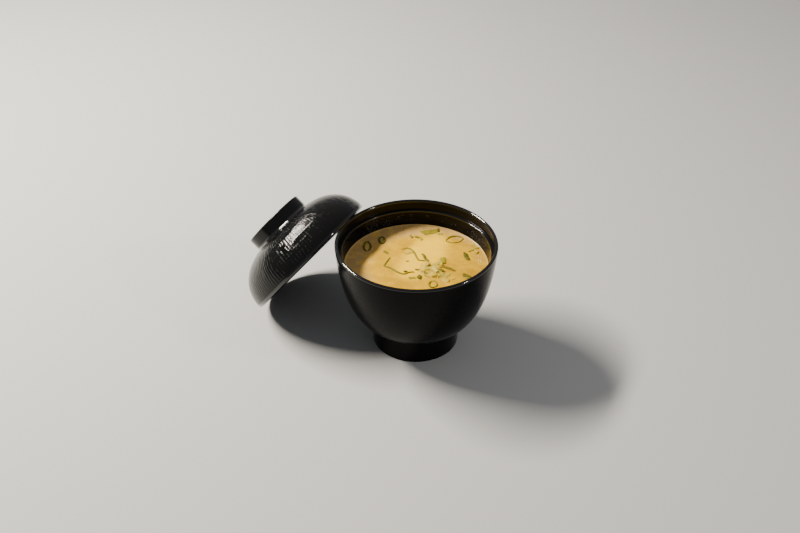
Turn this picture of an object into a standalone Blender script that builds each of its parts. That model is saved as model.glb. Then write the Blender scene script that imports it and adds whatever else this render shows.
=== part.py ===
"""Miso soup in a lidded black bowl, with the lid leaning on the bowl's rim.

Metres, +Z up. The bowl's foot and the lid's lowest edge stand on z = 0. The lid leans along X, so
the plane y = 0 is the mirror plane of bowl and lid. The origin is the middle of the footprint box.
"""
import math

import bmesh
import bpy
from mathutils import Matrix, Vector

MM = 0.001
GAP = 0.3 * MM                      # clearance between pieces that touch

# Bowl
BOWL_RADIUS = 52.5 * MM
BOWL_HEIGHT = 76.5 * MM
BOWL_WALL = 3.9 * MM
LIP_ROUND = 1.2 * MM                # the lip is twice this thick
LEDGE_DEPTH = 7.0 * MM              # from the lip's top down to the shelf that seats the lid
FOOT_RADIUS = 28.6 * MM
FOOT_HEIGHT = 15.9 * MM             # where the body leaves the straight foot ring
FOOT_WALL = 3.6 * MM
FOOT_HOLLOW = 9.0 * MM
FLOOR_HEIGHT = 13.0 * MM            # inside, at the axis
EDGE_ROUND = 0.7 * MM
SEAT_DRAFT = 0.1 * MM
SWELL_START = 17.1 * MM             # handle lengths and angles of the body's curve
SWELL_START_ANGLE = math.radians(25.5)
SWELL_END = 30.2 * MM
SWELL_END_ANGLE = math.radians(4.2)

# Soup
SOUP_LEVEL = 58.9 * MM

# Lid, measured from the plane of its rim
LID_RADIUS = 49.6 * MM
LID_DOME = 29.5 * MM
LID_DOME_POWER = 2.1
LID_SIDE_POWER = 3.2
LID_WALL = 2.4 * MM
LID_CROWN = 3.0 * MM                # thickness at the top of the dome
KNOB_RADIUS = 22.0 * MM
KNOB_HEIGHT = 37.7 * MM
KNOB_WALL = 3.4 * MM
KNOB_HOLLOW = 7.0 * MM

# Garnish: how far each kind stands out of the soup and reaches below its surface
RING_THICK = 0.8 * MM
RING_OUT = 0.5 * MM
RING_SUNK = 1.1 * MM
LEAF_THICK = 0.7 * MM
LEAF_OUT = 0.4 * MM
LEAF_ARCH = 0.5 * MM
HEAP_OUT = 1.9 * MM
HEAP_SUNK = 2.6 * MM

# Rings: name, X and Y from the bowl's axis, length, width, turn in degrees
RINGS = (
    ("ring_right", 10.0 * MM, 37.6 * MM, 12.0 * MM, 8.4 * MM, 43),
    ("ring_left", -38.0 * MM, 3.2 * MM, 12.0 * MM, 5.8 * MM, 116),
    ("ring_back", -33.0 * MM, 14.4 * MM, 8.6 * MM, 5.2 * MM, 118),
    ("ring_front", 19.2 * MM, -14.6 * MM, 7.8 * MM, 6.0 * MM, 110),
)
# Leaves: the same
LEAVES = (
    ("leaf_right", 25.4 * MM, 23.2 * MM, 9.2 * MM, 4.4 * MM, 125),
    ("leaf_back", -8.6 * MM, 39.4 * MM, 10.5 * MM, 4.8 * MM, 45),
)
RING_PINCH = 0.28                   # how far a ring's one end is drawn to a point
LEAF_TAPER = 0.25                   # how much wider the blunt end is than the pointed one
LEAF_SIDE_ANGLE = math.radians(52)  # how far round their arcs the leaf's two sides go
HEAP_CENTRE = (13.4 * MM, -2.6 * MM)
HEAP_RADIUS = 9.6 * MM
HEAP_WAVES = ((2, 0.13, 0.4), (5, 0.07, 1.57), (7, 0.05, 0.0))  # outline: count, share, shift
HEAP_LUMP = 0.22                    # lumps on top, as a share of the height
HEAP_LUMP_COUNTS = (9, 3)           # outward and round

# Steps of the faceted solids
TURNED_STEPS = 48
BODY_STEPS = 10
FLOOR_STEPS = 4
WALL_STEPS = 7
DOME_STEPS = 8
LIP_STEPS = 4
LEDGE_STEPS = 2
EDGE_STEPS = 1
RING_STEPS = 22
LEAF_STEPS = (8, 4)
HEAP_STEPS = (24, 8)
HOLLOW_SPREAD = 0.7                 # under 1 spaces the lid's inner rings closer to its rim
SEARCH_STEPS = 40
MERGE_DISTANCE = 0.01 * MM
SMOOTH_ANGLE = math.radians(40)

BLACK = ((0.012, 0.011, 0.011), 0.22)
BROTH = ((0.72, 0.50, 0.20), 0.18)
GREEN = ((0.16, 0.20, 0.03), 0.4)
PALE_LEEK = ((0.74, 0.66, 0.40), 0.35)


def clear_scene():
    for item in list(bpy.data.objects):
        bpy.data.objects.remove(item, do_unlink=True)
    for group in list(bpy.data.collections):
        bpy.data.collections.remove(group)


def make_collection(name):
    group = bpy.data.collections.new(name)
    bpy.context.scene.collection.children.link(group)
    return group


def make_material(name, look):
    colour, roughness = look
    material = bpy.data.materials.new(name)
    material.use_nodes = True
    shader = material.node_tree.nodes["Principled BSDF"]
    shader.inputs["Base Color"].default_value = (*colour, 1.0)
    shader.inputs["Roughness"].default_value = roughness
    shader.inputs["Metallic"].default_value = 0.0
    return material


def add_object(name, mesh_or_none, group, parent=None, location=(0.0, 0.0, 0.0)):
    item = bpy.data.objects.new(name, mesh_or_none)
    group.objects.link(item)
    item.parent = parent
    item.location = location
    return item


def arc(centre, radius, start, end, steps):
    """Points on an arc in the profile's plane, angles in degrees from +r."""
    points = []
    for step in range(steps + 1):
        angle = math.radians(start + (end - start) * step / steps)
        points.append(centre + radius * Vector((math.cos(angle), math.sin(angle))))
    return points


# ---- Bowl profile: pairs of radius and height ----

def body_curve(t, inset=0.0):
    """The body's outer wall from the foot (t = 0) to the lip (t = 1), or a wall inset from it."""
    start = Vector((FOOT_RADIUS, FOOT_HEIGHT))
    end = Vector((BOWL_RADIUS, BOWL_HEIGHT - LIP_ROUND))
    lower = start + SWELL_START * Vector((math.cos(SWELL_START_ANGLE), math.sin(SWELL_START_ANGLE)))
    upper = end - SWELL_END * Vector((math.sin(SWELL_END_ANGLE), math.cos(SWELL_END_ANGLE)))
    s = 1.0 - t
    point = s**3 * start + 3 * s * s * t * lower + 3 * s * t * t * upper + t**3 * end
    slope = 3 * (s * s * (lower - start) + 2 * s * t * (upper - lower) + t * t * (end - upper))
    inward = Vector((-slope.y, slope.x)).normalized()
    return point + inset * inward


def place_at(height):
    """The curve's parameter where the bowl's inside wall reaches a height."""
    low, high = 0.0, 1.0
    for _ in range(SEARCH_STEPS):
        middle = (low + high) / 2
        if body_curve(middle, BOWL_WALL).y < height:
            low = middle
        else:
            high = middle
    return (low + high) / 2


def inside_wall(inset):
    """From the axis over the bowl's floor and up its wall to the soup's level."""
    foot = body_curve(0.0, inset)
    floor = FLOOR_HEIGHT + inset - BOWL_WALL
    bend = Vector((foot.x - (foot.y - floor) / math.tan(SWELL_START_ANGLE), floor))
    centre = Vector((0.0, floor))
    points = []
    for step in range(FLOOR_STEPS):
        t = step / FLOOR_STEPS
        points.append((1 - t)**2 * centre + 2 * t * (1 - t) * bend + t * t * foot)
    last = place_at(SOUP_LEVEL)
    for step in range(WALL_STEPS + 1):
        points.append(body_curve(last * step / WALL_STEPS, inset))
    return points


def bowl_profile():
    """Up the inside over the ledge and the lip, down the outside, and under the foot ring."""
    points = inside_wall(BOWL_WALL)
    shelf = BOWL_HEIGHT - LEDGE_DEPTH
    corner = body_curve(place_at(shelf - EDGE_ROUND), BOWL_WALL)
    points += arc(corner + Vector((EDGE_ROUND, 0.0)), EDGE_ROUND, 180, 90, LEDGE_STEPS)
    seat = BOWL_RADIUS - 2 * LIP_ROUND - SEAT_DRAFT
    points += arc(Vector((seat - EDGE_ROUND, shelf + EDGE_ROUND)), EDGE_ROUND, 270, 360, LEDGE_STEPS)
    lip = Vector((BOWL_RADIUS - LIP_ROUND, BOWL_HEIGHT - LIP_ROUND))
    points += arc(lip, LIP_ROUND, 180, 0, LIP_STEPS)
    for step in range(1, BODY_STEPS + 1):
        points.append(body_curve(1 - step / BODY_STEPS))
    points += arc(Vector((FOOT_RADIUS - EDGE_ROUND, EDGE_ROUND)), EDGE_ROUND, 0, -90, EDGE_STEPS)
    inner = FOOT_RADIUS - FOOT_WALL
    points += arc(Vector((inner + EDGE_ROUND, EDGE_ROUND)), EDGE_ROUND, -90, -180, EDGE_STEPS)
    points += arc(Vector((inner - EDGE_ROUND, FOOT_HOLLOW - EDGE_ROUND)), EDGE_ROUND, 0, 90, EDGE_STEPS)
    points.append(Vector((0.0, FOOT_HOLLOW)))
    return points


# ---- Lid profile: pairs of radius and height above the rim's plane ----

def dome(height, radius, rise):
    share = min(height / rise, 1.0)
    return radius * (1.0 - share**LID_DOME_POWER)**(1.0 / LID_SIDE_POWER)


def dome_height(width, radius, rise):
    """The height at which the dome has a given radius."""
    return rise * (1.0 - (width / radius)**LID_SIDE_POWER)**(1.0 / LID_DOME_POWER)


def lid_profile():
    """Out of the knob's hollow, down its side and the dome, round the rim and up the inside."""
    floor = KNOB_HEIGHT - KNOB_HOLLOW
    inner = KNOB_RADIUS - KNOB_WALL
    top = KNOB_HEIGHT - EDGE_ROUND
    points = [Vector((0.0, floor))]
    points += arc(Vector((inner - EDGE_ROUND, floor + EDGE_ROUND)), EDGE_ROUND, -90, 0, EDGE_STEPS)
    points += arc(Vector((inner + EDGE_ROUND, top)), EDGE_ROUND, 180, 90, EDGE_STEPS)
    points += arc(Vector((KNOB_RADIUS - EDGE_ROUND, top)), EDGE_ROUND, 90, 0, EDGE_STEPS)
    edge = LID_WALL / 2
    start = dome_height(KNOB_RADIUS, LID_RADIUS, LID_DOME)
    for step in range(DOME_STEPS):
        height = edge + (start - edge) * math.cos(math.pi / 2 * step / DOME_STEPS)
        points.append(Vector((dome(height, LID_RADIUS, LID_DOME), height)))
    points += arc(Vector((LID_RADIUS - edge, edge)), edge, 0, -180, LIP_STEPS)
    hollow_radius = LID_RADIUS - LID_WALL
    hollow_rise = LID_DOME - LID_CROWN
    for step in range(1, DOME_STEPS):
        width = hollow_radius * math.cos(math.pi / 2 * step / DOME_STEPS)**HOLLOW_SPREAD
        points.append(Vector((width, dome_height(width, hollow_radius, hollow_rise))))
    points.append(Vector((0.0, hollow_rise)))
    return points


def soup_profile():
    """Level across the top, then down the wall and under, a gap inside the bowl."""
    points = inside_wall(BOWL_WALL + GAP)
    points[-1].y = SOUP_LEVEL
    points.append(Vector((0.0, SOUP_LEVEL)))
    points.reverse()
    return points


# ---- Where the lid leans ----

def lid_lean():
    """The lid's tilt: its rounded edge stands on the ground and touches the lip's top."""
    across = 2 * (LID_RADIUS - LID_WALL / 2)
    return math.asin((BOWL_HEIGHT + GAP) / across)


def lid_place():
    """The middle of the lid's rim, from the bowl's axis."""
    lean = lid_lean()
    up_the_lid = Vector((math.cos(lean), 0.0, math.sin(lean)))
    out_of_lid = Vector((-math.sin(lean), 0.0, math.cos(lean)))
    edge = LID_WALL / 2
    touch = Vector((LIP_ROUND - BOWL_RADIUS, 0.0, BOWL_HEIGHT + GAP + edge))
    place = touch - (LID_RADIUS - edge) * up_the_lid - edge * out_of_lid
    place.z = max(p.x * math.sin(lean) - p.y * math.cos(lean) for p in lid_profile())
    return place


def bowl_axis_x():
    """How far the bowl's axis lies from the middle of the footprint box."""
    lean = lid_lean()
    reach = max(p.x * math.cos(lean) + p.y * math.sin(lean) for p in lid_profile())
    lid_side = reach - lid_place().x
    return (lid_side - BOWL_RADIUS) / 2


# ---- Pieces ----

def turned(name, profile, look, group, parent):
    """A profile in the XZ plane with a Screw modifier about Z."""
    mesh = bpy.data.meshes.new(name)
    edges = [(i, i + 1) for i in range(len(profile) - 1)]
    mesh.from_pydata([(p.x, 0.0, p.y) for p in profile], edges, [])
    item = add_object(name, mesh, group, parent)
    screw = item.modifiers.new("turn", "SCREW")
    screw.axis = "Z"
    screw.steps = TURNED_STEPS
    screw.render_steps = TURNED_STEPS
    screw.use_merge_vertices = True
    screw.merge_threshold = MERGE_DISTANCE
    screw.use_smooth_shade = True
    mesh.materials.append(make_material(name, look))
    return item


def turned_piece(name, shape, turn, group, parent, place):
    """Puts a shape into an object after turning it about Z."""
    turning = Matrix.Rotation(math.radians(turn), 3, "Z")
    bmesh.ops.rotate(shape, verts=shape.verts, cent=(0.0, 0.0, 0.0), matrix=turning)
    mesh = bpy.data.meshes.new(name)
    shape.to_mesh(mesh)
    shape.free()
    return add_object(name, mesh, group, parent, place)


def ring_band(name, ring, spread, group, parent, low, high):
    """A bias-cut onion ring: an oval band with one end drawn to a point, standing in the soup."""
    _, x, y, length, width, turn = ring
    shape = bmesh.new()
    rim = bmesh.ops.create_circle(shape, segments=RING_STEPS, radius=1.0)["verts"]
    for vert in rim:
        angle = math.atan2(vert.co.y, vert.co.x)
        pinch = 1.0 - RING_PINCH * max(0.0, -math.cos(angle))**3
        half_length = (length - RING_THICK) / 2
        half_width = (width - RING_THICK) / 2 * pinch
        vert.co = (half_length * math.cos(angle), half_width * math.sin(angle), low)
    wall = bmesh.ops.extrude_edge_only(shape, edges=shape.edges[:])
    lifted = [item for item in wall["geom"] if isinstance(item, bmesh.types.BMVert)]
    bmesh.ops.translate(shape, verts=lifted, vec=(0.0, 0.0, high - low))
    bmesh.ops.recalc_face_normals(shape, faces=shape.faces)
    item = turned_piece(name, shape, turn, group, parent, (x, y, SOUP_LEVEL))
    band = item.modifiers.new("thickness", "SOLIDIFY")
    band.thickness = RING_THICK + 2 * spread
    band.offset = 0.0
    band.use_even_offset = True
    return item


def leaf_blade(name, leaf, spread, group, parent):
    """A slip of leaf, blunt at one end and pointed at the other, arched over its width."""
    _, x, y, length, width, turn = leaf
    shape = bmesh.new()
    along_steps, across_steps = LEAF_STEPS
    bmesh.ops.create_grid(shape, x_segments=along_steps, y_segments=across_steps, size=0.5)
    for vert in shape.verts:
        along = vert.co.x * 2
        across = vert.co.y * 2
        taper = math.cos(LEAF_SIDE_ANGLE * along) * (1.0 - LEAF_TAPER * along)
        half_length = length / 2 + spread
        half_width = width / 2 * taper + spread
        lift = LEAF_ARCH * (1.0 - across * across)
        vert.co = (half_length * along, half_width * across, lift)
    height = SOUP_LEVEL + LEAF_OUT - LEAF_ARCH - LEAF_THICK / 2
    item = turned_piece(name, shape, turn, group, parent, (x, y, height))
    blade = item.modifiers.new("thickness", "SOLIDIFY")
    blade.thickness = LEAF_THICK + 2 * spread
    blade.offset = 0.0
    return item


def heap_body(name, spread, group, parent):
    """The raft of leek shreds in the middle, out to its uneven outline."""
    shape = bmesh.new()
    round_steps, up_steps = HEAP_STEPS
    bmesh.ops.create_uvsphere(shape, u_segments=round_steps, v_segments=up_steps, radius=1.0)
    outward, around = HEAP_LUMP_COUNTS
    for vert in shape.verts:
        angle = math.atan2(vert.co.y, vert.co.x)
        flat = math.hypot(vert.co.x, vert.co.y)
        outline = 1.0 + sum(share * math.sin(count * angle + shift) for count, share, shift in HEAP_WAVES)
        reach = (HEAP_RADIUS * outline + spread) * flat
        lumps = 1.0 + HEAP_LUMP * math.sin(outward * flat + around * angle) * flat
        extent = HEAP_OUT if vert.co.z > 0 else HEAP_SUNK
        height = (extent * lumps + spread) * vert.co.z
        vert.co = (reach * math.cos(angle), reach * math.sin(angle), height)
    return turned_piece(name, shape, 0, group, parent, (*HEAP_CENTRE, SOUP_LEVEL))


def smooth(item):
    item.data.shade_smooth()
    item.data.set_sharp_from_angle(angle=SMOOTH_ANGLE)


def as_cutter(item):
    item.hide_render = True
    item.display_type = "WIRE"


def build_garnish(parts, cutters, parent):
    """Each piece floats half sunk, with a pocket of the same shape cut round it in the soup."""
    for ring in RINGS:
        name = ring[0]
        piece = ring_band(name, ring, 0.0, parts, parent, -RING_SUNK, RING_OUT)
        piece.data.materials.append(make_material(name, GREEN))
        smooth(piece)
        low, high = -RING_SUNK - GAP, RING_OUT + GAP
        as_cutter(ring_band("pocket_" + name, ring, GAP, cutters, parent, low, high))
    for leaf in LEAVES:
        name = leaf[0]
        piece = leaf_blade(name, leaf, 0.0, parts, parent)
        piece.data.materials.append(make_material(name, GREEN))
        smooth(piece)
        as_cutter(leaf_blade("pocket_" + name, leaf, GAP, cutters, parent))
    heap = heap_body("leek_heap", 0.0, parts, parent)
    heap.data.materials.append(make_material("leek_heap", PALE_LEEK))
    smooth(heap)
    as_cutter(heap_body("pocket_leek_heap", GAP, cutters, parent))


def main():
    clear_scene()
    parts = make_collection("miso_soup")
    cutters = make_collection("cutters")

    bowl_axis = add_object("bowl_axis", None, parts, None, (bowl_axis_x(), 0.0, 0.0))
    lid_frame = add_object("lid_frame", None, parts, bowl_axis, lid_place())
    lid_frame.rotation_euler = (0.0, -lid_lean(), 0.0)

    turned("bowl", bowl_profile(), BLACK, parts, bowl_axis)
    turned("lid", lid_profile(), BLACK, parts, lid_frame)
    soup = turned("soup", soup_profile(), BROTH, parts, bowl_axis)

    build_garnish(parts, cutters, bowl_axis)
    pockets = soup.modifiers.new("pockets", "BOOLEAN")
    pockets.operation = "DIFFERENCE"
    pockets.operand_type = "COLLECTION"
    pockets.collection = cutters
    pockets.solver = "EXACT"


main()
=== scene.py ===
# %% [markdown]
# # Miso soup in a lidded bowl
#
# A deep black bowl on a foot ring holds pale miso soup with sliced green onion. Its lid leans on
# the rim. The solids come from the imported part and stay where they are. This script gives every
# surface its finish: turned lacquer ware, cloudy broth, and onion cut the way a cook cuts it.

# %% Load the fixed frame
import math
import random

import bmesh
import bpy
from mathutils import Matrix, Vector, noise


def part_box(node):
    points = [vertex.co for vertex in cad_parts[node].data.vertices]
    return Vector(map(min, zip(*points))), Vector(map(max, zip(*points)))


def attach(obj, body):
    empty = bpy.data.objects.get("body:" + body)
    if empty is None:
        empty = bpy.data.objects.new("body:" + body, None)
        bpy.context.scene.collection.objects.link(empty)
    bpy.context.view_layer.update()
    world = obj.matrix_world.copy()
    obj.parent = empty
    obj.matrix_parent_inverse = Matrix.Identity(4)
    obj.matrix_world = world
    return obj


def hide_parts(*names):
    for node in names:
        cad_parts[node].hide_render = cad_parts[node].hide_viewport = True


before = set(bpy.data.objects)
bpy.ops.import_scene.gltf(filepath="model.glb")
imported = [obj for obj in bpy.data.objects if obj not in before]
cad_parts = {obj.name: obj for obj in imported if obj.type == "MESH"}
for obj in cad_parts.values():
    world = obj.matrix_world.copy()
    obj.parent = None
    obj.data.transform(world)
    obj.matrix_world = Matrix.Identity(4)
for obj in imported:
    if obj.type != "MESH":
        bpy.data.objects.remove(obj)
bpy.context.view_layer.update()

# %% [markdown]
# ## Sizes
#
# The main sizes are read from the solids, so a piece made here always fits them. The few that a
# box can't tell, such as how thick a wall is, are named values in metres.

# %% Read the bowl, the lid and the soup from the frame
MM = 0.001
bowl_low, bowl_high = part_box("bowl")
lid_low, lid_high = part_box("lid")
soup_low, soup_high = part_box("soup")

AXIS = Vector(((bowl_low.x + bowl_high.x) / 2, 0.0, 0.0))
BOWL_RADIUS = (bowl_high.x - bowl_low.x) / 2
BOWL_HEIGHT = bowl_high.z
SOUP_LEVEL = soup_high.z
LID_RADIUS = (lid_high.y - lid_low.y) / 2
print("bowl", round(BOWL_RADIUS, 4), "high", round(BOWL_HEIGHT, 4), "soup at", round(SOUP_LEVEL, 4))

# %% Sizes inside the walls
GAP = 0.3 * MM
BOWL_WALL = 3.9 * MM
LIP_ROUND = 1.2 * MM
LEDGE_DEPTH = 7.0 * MM
FOOT_RADIUS = 28.6 * MM
FOOT_HEIGHT = 15.9 * MM
FOOT_WALL = 3.6 * MM
FOOT_HOLLOW = 9.0 * MM
FLOOR_HEIGHT = 13.0 * MM
EDGE_ROUND = 0.7 * MM
SEAT_DRAFT = 0.1 * MM
SWELL_START = 17.1 * MM
SWELL_START_ANGLE = math.radians(25.5)
SWELL_END = 30.2 * MM
SWELL_END_ANGLE = math.radians(4.2)
LID_DOME = 29.5 * MM
LID_DOME_POWER = 2.1
LID_SIDE_POWER = 3.2
LID_WALL = 2.4 * MM
LID_CROWN = 3.0 * MM
KNOB_RADIUS = 22.0 * MM
KNOB_HEIGHT = 37.7 * MM
KNOB_WALL = 3.4 * MM
KNOB_HOLLOW = 7.0 * MM

# %% [markdown]
# ## Camera, floor and light
#
# The camera comes first, because every later choice of detail depends on how large a thing looks.
# It stands 0.7 m from the middle of the rim and looks down on the soup.

# %% Camera
CAMERA_REACH = 0.7
CAMERA_BEARING = math.radians(-63.6)        # from +X, round the bowl
CAMERA_ELEVATION = math.radians(34.1)
CAMERA_HEADING = math.radians(27.435)       # from +Y, to the left
CAMERA_DIP = math.radians(35.395)
CAMERA_LENS = 49.2

rim_middle = AXIS + Vector((0.0, 0.0, BOWL_HEIGHT))
flat_reach = CAMERA_REACH * math.cos(CAMERA_ELEVATION)
camera_place = rim_middle + Vector((
    flat_reach * math.cos(CAMERA_BEARING),
    flat_reach * math.sin(CAMERA_BEARING),
    CAMERA_REACH * math.sin(CAMERA_ELEVATION)))
bpy.ops.object.camera_add(location=camera_place, rotation=(math.pi / 2 - CAMERA_DIP, 0.0, CAMERA_HEADING))
camera = bpy.context.object
camera.data.lens = CAMERA_LENS
camera.data.sensor_width = 36.0
camera.data.clip_start = 0.01
bpy.context.scene.camera = camera
print("camera at", [round(v, 3) for v in camera_place])

# %% Pale floor
bpy.ops.mesh.primitive_plane_add(size=6.0, location=(0.0, 0.0, 0.0))
floor = bpy.context.object
floor.name = "floor"
floor_paint = bpy.data.materials.new("floor_paint")
floor_paint.use_nodes = True
floor_shader = floor_paint.node_tree.nodes["Principled BSDF"]
floor_shader.inputs["Base Color"].default_value = (0.44, 0.437, 0.430, 1.0)
floor_shader.inputs["Roughness"].default_value = 0.9
floor_shader.inputs["Specular IOR Level"].default_value = 0.2
floor.data.materials.append(floor_paint)

# %% [markdown]
# Black lacquer shows mostly what it mirrors. One softbox stands on the lid's side, where the grain
# on the dome catches it, and it also lights the soup. A small low one behind the bowl draws a thin
# line along the lip.

# %% Softboxes and a dim room
def softbox(name, toward, reach, width, depth, power, tint):
    """A rectangular area light that faces the bowl's rim."""
    place = rim_middle + Vector(toward).normalized() * reach
    bpy.ops.object.light_add(type="AREA", location=place)
    lamp = bpy.context.object
    lamp.name = name
    lamp.data.shape = "RECTANGLE"
    lamp.data.size = width
    lamp.data.size_y = depth
    lamp.data.energy = power
    lamp.data.color = tint
    lamp.rotation_euler = (rim_middle - place).to_track_quat("-Z", "Y").to_euler()
    return lamp


softbox("key_softbox", (-0.754, -0.040, 0.655), 1.0, 0.48, 0.080, 36.5, (1.0, 0.94, 0.82))
softbox("side_softbox", (0.85, 0.10, 0.50), 1.1, 0.12, 0.035, 3.2, (1.0, 0.98, 0.95))

room = bpy.data.worlds.new("room")
room.use_nodes = True
room.node_tree.nodes["Background"].inputs["Color"].default_value = (0.93, 0.96, 1.0, 1.0)
room.node_tree.nodes["Background"].inputs["Strength"].default_value = 0.25
bpy.context.scene.world = room

# %% [markdown]
# ## Helpers for turned ware
#
# A bowl and its lid are turned or moulded round: one outline swept about an axis. By hand that is
# a single vertex, extruded from point to point along the outline, and then spun once round. The
# seam and the two poles are merged afterwards, and a UV map keeps the turn (U) and the length
# along the outline (V), which the cloth grain follows.

# %% Select nothing, and finish a piece where it is
def start_clean():
    if bpy.context.object and bpy.context.object.mode != "OBJECT":
        bpy.ops.object.mode_set(mode="OBJECT")
    bpy.ops.object.select_all(action="DESELECT")


def keep_place(piece):
    """Puts the piece's place, turn and scale into its mesh."""
    start_clean()
    piece.select_set(True)
    bpy.context.view_layer.objects.active = piece
    bpy.ops.object.transform_apply(location=True, rotation=True, scale=True)


def apply_all(piece):
    start_clean()
    piece.select_set(True)
    bpy.context.view_layer.objects.active = piece
    for modifier in list(piece.modifiers):
        bpy.ops.object.modifier_apply(modifier=modifier.name)


def smooth(piece, angle=40):
    start_clean()
    piece.select_set(True)
    bpy.context.view_layer.objects.active = piece
    bpy.ops.object.shade_smooth_by_angle(angle=math.radians(angle))


# %% Spin an outline
def wrap_uv(piece, outline):
    """U is the turn about the piece's axis, V the length in metres along the outline."""
    lengths = [0.0]
    for before, after in zip(outline, outline[1:]):
        lengths.append(lengths[-1] + (after - before).length)
    mesh = piece.data
    along = []
    for vert in mesh.vertices:
        here = Vector((math.hypot(vert.co.x, vert.co.y), vert.co.z))
        nearest = min(range(len(outline)), key=lambda i: (outline[i] - here).length_squared)
        along.append(lengths[nearest])
    layer = mesh.uv_layers.new(name="turned")
    for face in mesh.polygons:
        middle = math.atan2(face.center.y, face.center.x) / math.tau
        for loop_index in face.loop_indices:
            vert_index = mesh.loops[loop_index].vertex_index
            spot = mesh.vertices[vert_index].co
            turn = math.atan2(spot.y, spot.x) / math.tau
            if math.hypot(spot.x, spot.y) < 0.01 * MM:
                turn = middle
            turn += round(middle - turn)
            layer.data[loop_index].uv = (turn, along[vert_index])


def spin_outline(name, outline, steps):
    """Extrudes a vertex along an outline of radius and height, then spins it about Z."""
    start_clean()
    bpy.ops.mesh.primitive_plane_add(size=MM, location=(0.0, 0.0, 0.0))
    piece = bpy.context.object
    piece.name = name
    bpy.ops.object.mode_set(mode="EDIT")
    bpy.ops.mesh.merge(type="CENTER")
    first = outline[0]
    bpy.ops.transform.translate(value=(first.x, 0.0, first.y))
    for before, after in zip(outline, outline[1:]):
        step = after - before
        bpy.ops.mesh.extrude_region_move(TRANSFORM_OT_translate={"value": (step.x, 0.0, step.y)})
    bpy.ops.mesh.select_all(action="SELECT")
    bpy.ops.mesh.spin(steps=steps, angle=math.tau, center=(0, 0, 0), axis=(0, 0, 1))
    bpy.ops.mesh.select_all(action="SELECT")
    bpy.ops.mesh.remove_doubles(threshold=0.001 * MM)
    bpy.ops.mesh.normals_make_consistent(inside=False)
    bpy.ops.object.mode_set(mode="OBJECT")
    wrap_uv(piece, outline)
    return piece


def arc(centre, radius, start, end, steps):
    """Points on an arc, with angles in degrees from the outward direction."""
    points = []
    for step in range(steps + 1):
        angle = math.radians(start + (end - start) * step / steps)
        points.append(Vector(centre) + radius * Vector((math.cos(angle), math.sin(angle))))
    return points


# %% [markdown]
# ## The bowl's outline
#
# The body is one curve: it leaves the straight foot ring at a shallow angle, swells, and ends
# almost upright at the lip. The inside runs a wall's thickness within it. Seven millimetres below
# the lip a ledge seats the lid.

# %% The body's curve and the wall inside it
def body_curve(t, inset=0.0):
    start = Vector((FOOT_RADIUS, FOOT_HEIGHT))
    end = Vector((BOWL_RADIUS, BOWL_HEIGHT - LIP_ROUND))
    lower = start + SWELL_START * Vector((math.cos(SWELL_START_ANGLE), math.sin(SWELL_START_ANGLE)))
    upper = end - SWELL_END * Vector((math.sin(SWELL_END_ANGLE), math.cos(SWELL_END_ANGLE)))
    s = 1.0 - t
    point = s**3 * start + 3 * s * s * t * lower + 3 * s * t * t * upper + t**3 * end
    slope = 3 * (s * s * (lower - start) + 2 * s * t * (upper - lower) + t * t * (end - upper))
    inward = Vector((-slope.y, slope.x)).normalized()
    return point + inset * inward


def place_at(height, inset=BOWL_WALL):
    low, high = 0.0, 1.0
    for _ in range(40):
        middle = (low + high) / 2
        if body_curve(middle, inset).y < height:
            low = middle
        else:
            high = middle
    return (low + high) / 2


def inside_wall(inset, top, floor_steps, wall_steps):
    """From the axis over the floor and up the wall to a height."""
    foot = body_curve(0.0, inset)
    floor_height = FLOOR_HEIGHT + inset - BOWL_WALL
    bend = Vector((foot.x - (foot.y - floor_height) / math.tan(SWELL_START_ANGLE), floor_height))
    centre = Vector((0.0, floor_height))
    points = []
    for step in range(floor_steps):
        t = step / floor_steps
        points.append((1 - t)**2 * centre + 2 * t * (1 - t) * bend + t * t * foot)
    last = place_at(top, inset)
    for step in range(wall_steps + 1):
        points.append(body_curve(last * step / wall_steps, inset))
    return points


# %% Spin the bowl
WARE_STEPS = 256


def bowl_outline():
    shelf = BOWL_HEIGHT - LEDGE_DEPTH
    points = inside_wall(BOWL_WALL, shelf - EDGE_ROUND, 8, 26)
    points += arc(points[-1] + Vector((EDGE_ROUND, 0.0)), EDGE_ROUND, 180, 90, 8)[1:]
    seat = BOWL_RADIUS - 2 * LIP_ROUND - SEAT_DRAFT
    points += arc((seat - EDGE_ROUND, shelf + EDGE_ROUND), EDGE_ROUND, 270, 360, 5)
    points += arc((BOWL_RADIUS - LIP_ROUND, BOWL_HEIGHT - LIP_ROUND), LIP_ROUND, 180, 0, 14)
    points += [body_curve(1 - step / 36) for step in range(1, 36)]
    joint = 1.0 * MM                                # a small fillet where body and foot meet
    leave = body_curve(0.035)
    points.append(leave)
    points.append(Vector((FOOT_RADIUS + 0.12 * MM, FOOT_HEIGHT - 0.3 * joint)))
    points.append(Vector((FOOT_RADIUS, FOOT_HEIGHT - joint)))
    points += arc((FOOT_RADIUS - EDGE_ROUND, EDGE_ROUND), EDGE_ROUND, 0, -90, 5)
    inner = FOOT_RADIUS - FOOT_WALL
    points += arc((inner + EDGE_ROUND, EDGE_ROUND), EDGE_ROUND, -90, -180, 5)
    points += arc((inner - EDGE_ROUND, FOOT_HOLLOW - EDGE_ROUND), EDGE_ROUND, 0, 90, 4)
    points.append(Vector((inner / 2, FOOT_HOLLOW)))
    points.append(Vector((0.0, FOOT_HOLLOW)))
    return points


bowl = spin_outline("lacquer_bowl", bowl_outline(), WARE_STEPS)
bowl.location = AXIS
keep_place(bowl)
smooth(bowl)
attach(bowl, "root")
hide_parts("bowl")
print("bowl has", len(bowl.data.polygons), "faces")

# %% [markdown]
# ## The lid
#
# The lid is turned lying flat and then leaned as a whole: its rounded edge stands on the table and
# touches the top of the bowl's lip. Two lengths settle the lean, the lip's height and the width of
# the lid between the middles of its rounded edge.

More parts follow.
